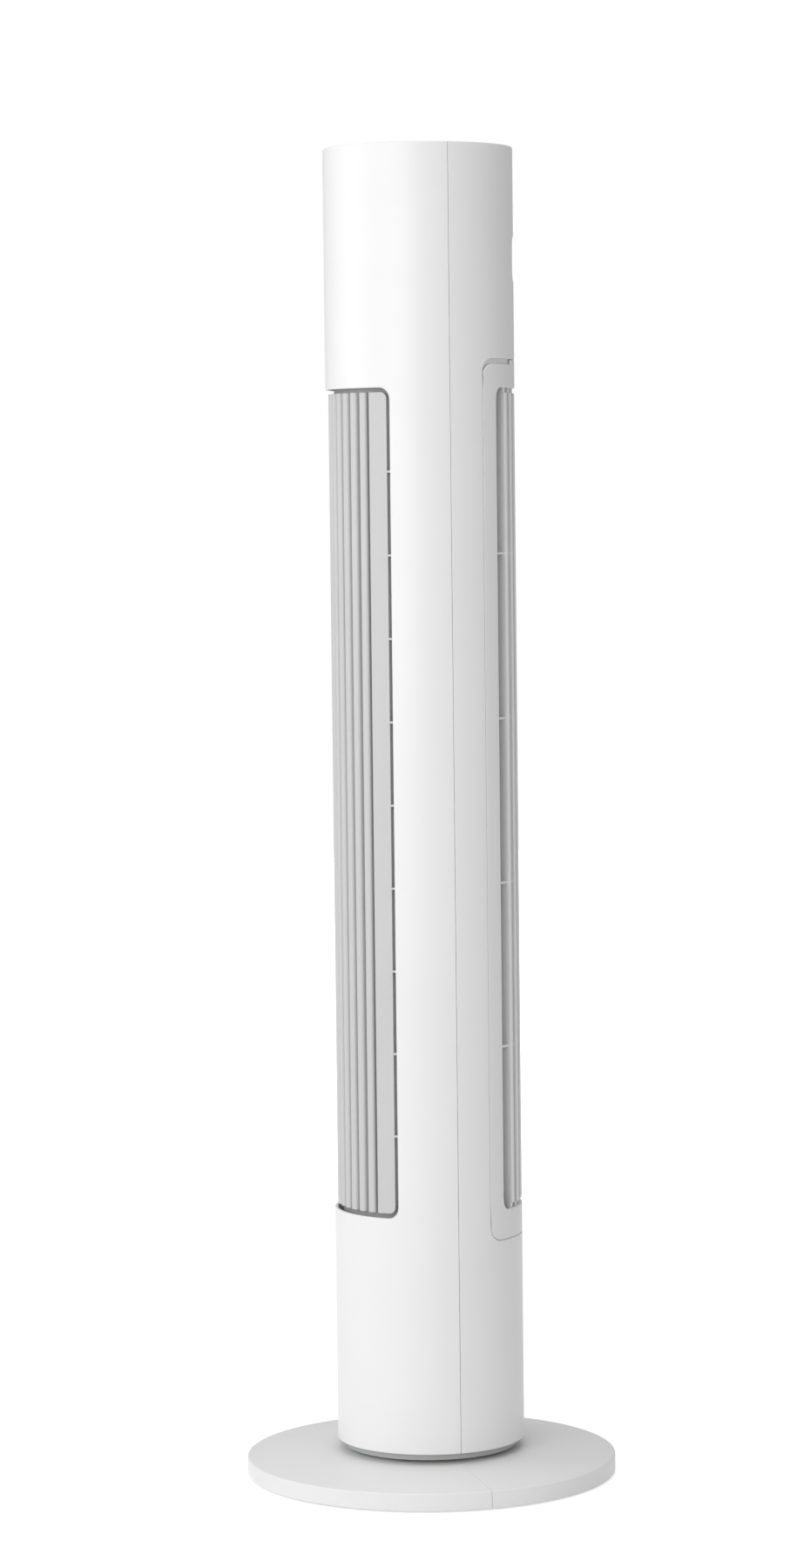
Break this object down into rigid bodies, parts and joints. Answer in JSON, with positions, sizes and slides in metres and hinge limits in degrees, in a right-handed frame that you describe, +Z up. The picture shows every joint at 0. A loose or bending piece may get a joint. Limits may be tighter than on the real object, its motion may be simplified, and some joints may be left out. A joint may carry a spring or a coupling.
{
  "type": "tower fan",
  "caption": "Tall round tower fan on a domed disc base, with an upright-slat outlet, barred rear intake cover, carry pocket, swing drive and crossflow rotor.",
  "frame": {"origin": "on the floor, on the axis of the round body and base", "axes": "+Z up, -Y the air outlet, +Y the air intake and the carry handle, +X to the right when looking along +Y"},
  "size_m": [0.308, 0.308, 1.1],
  "materials": {
    "white_plastic": "fine satin, moulded",
    "grille_plastic": "satin, moulded",
    "grey_plastic": "satin, moulded",
    "dark_plastic": "satin, moulded",
    "acetal": "smooth, moulded",
    "steel": "zinc plated",
    "rubber": "matt",
    "circuit_board": "green solder mask",
    "lens": "polished smoked"
  },
  "bodies": {
    "base": {"base_front_half": "white_plastic", "base_rear_half": "white_plastic", "base_plate": "steel", "neck_tube": "steel", "thrust_washer": "acetal", "retaining_ring": "steel", "gear_spacer": "acetal", "swing_gear": "acetal", "power_inlet": "dark_plastic", "foot_1": "rubber", "foot_2": "rubber", "foot_3": "rubber", "foot_4": "rubber", "foot_5": "rubber", "foot_6": "rubber", "base_screw_1": "steel", "base_screw_2": "steel", "base_screw_3": "steel", "base_screw_4": "steel"},
    "tower": {"turntable": "grey_plastic", "swing_motor": "steel", "front_shell": "white_plastic", "rear_shell": "white_plastic", "shell_screw_1": "steel", "shell_screw_2": "steel", "shell_screw_3": "steel", "shell_screw_4": "steel", "shell_screw_5": "steel", "shell_screw_6": "steel", "outlet_grille": "grille_plastic", "handle_cup": "white_plastic", "duct_floor": "grille_plastic", "duct_ceiling": "grille_plastic", "air_guide": "grille_plastic", "air_tongue": "grille_plastic", "top_bearing": "rubber", "fan_motor": "dark_plastic", "motor_bracket": "steel", "motor_damper_1": "rubber", "motor_damper_2": "rubber", "motor_damper_3": "rubber", "top_panel": "white_plastic", "display_lens": "lens", "control_board": "circuit_board", "power_board": "circuit_board"},
    "pinion": {"swing_pinion": "acetal"},
    "rotor": {"impeller": "grey_plastic", "top_pin": "steel", "motor_shaft": "steel"},
    "intake_cover": {"rear_cover": "white_plastic"},
    "timer_key": {"timer_button": "grille_plastic"},
    "mode_key": {"mode_button": "grille_plastic"},
    "power_key": {"power_button": "grille_plastic"},
    "speed_key": {"speed_button": "grille_plastic"},
    "swing_key": {"swing_button": "grille_plastic"}
  },
  "joints": [
    {"name": "body_swing", "type": "hinge", "parent": "base", "child": "tower", "pos_m": [0, 0, 0.0246], "axis": [0, 0, 1], "range_deg": [-45, 45]},
    {"name": "pinion_turn", "type": "hinge", "parent": "tower", "child": "pinion", "pos_m": [0, -0.044, 0.05], "axis": [0, 0, 1], "range_deg": [-185, 185]},
    {"name": "rotor_spin", "type": "hinge", "parent": "tower", "child": "rotor", "pos_m": [0, 0.01, 0.56], "axis": [0, 0, 1], "continuous": true},
    {"name": "cover_lift_off", "type": "slide", "parent": "tower", "child": "intake_cover", "axis": [0, 1, 0], "range_m": [0, 0.06]},
    {"name": "timer_press", "type": "slide", "parent": "tower", "child": "timer_key", "axis": [0, 0, -1], "range_m": [0, 0.0008], "stiffness_N_per_m": 1500},
    {"name": "mode_press", "type": "slide", "parent": "tower", "child": "mode_key", "axis": [0, 0, -1], "range_m": [0, 0.0008], "stiffness_N_per_m": 1500},
    {"name": "power_press", "type": "slide", "parent": "tower", "child": "power_key", "axis": [0, 0, -1], "range_m": [0, 0.0008], "stiffness_N_per_m": 1500},
    {"name": "speed_press", "type": "slide", "parent": "tower", "child": "speed_key", "axis": [0, 0, -1], "range_m": [0, 0.0008], "stiffness_N_per_m": 1500},
    {"name": "swing_press", "type": "slide", "parent": "tower", "child": "swing_key", "axis": [0, 0, -1], "range_m": [0, 0.0008], "stiffness_N_per_m": 1500}
  ],
  "couplings": [
    {"joint": "pinion_turn", "follows": "body_swing", "ratio": 4}
  ]
}
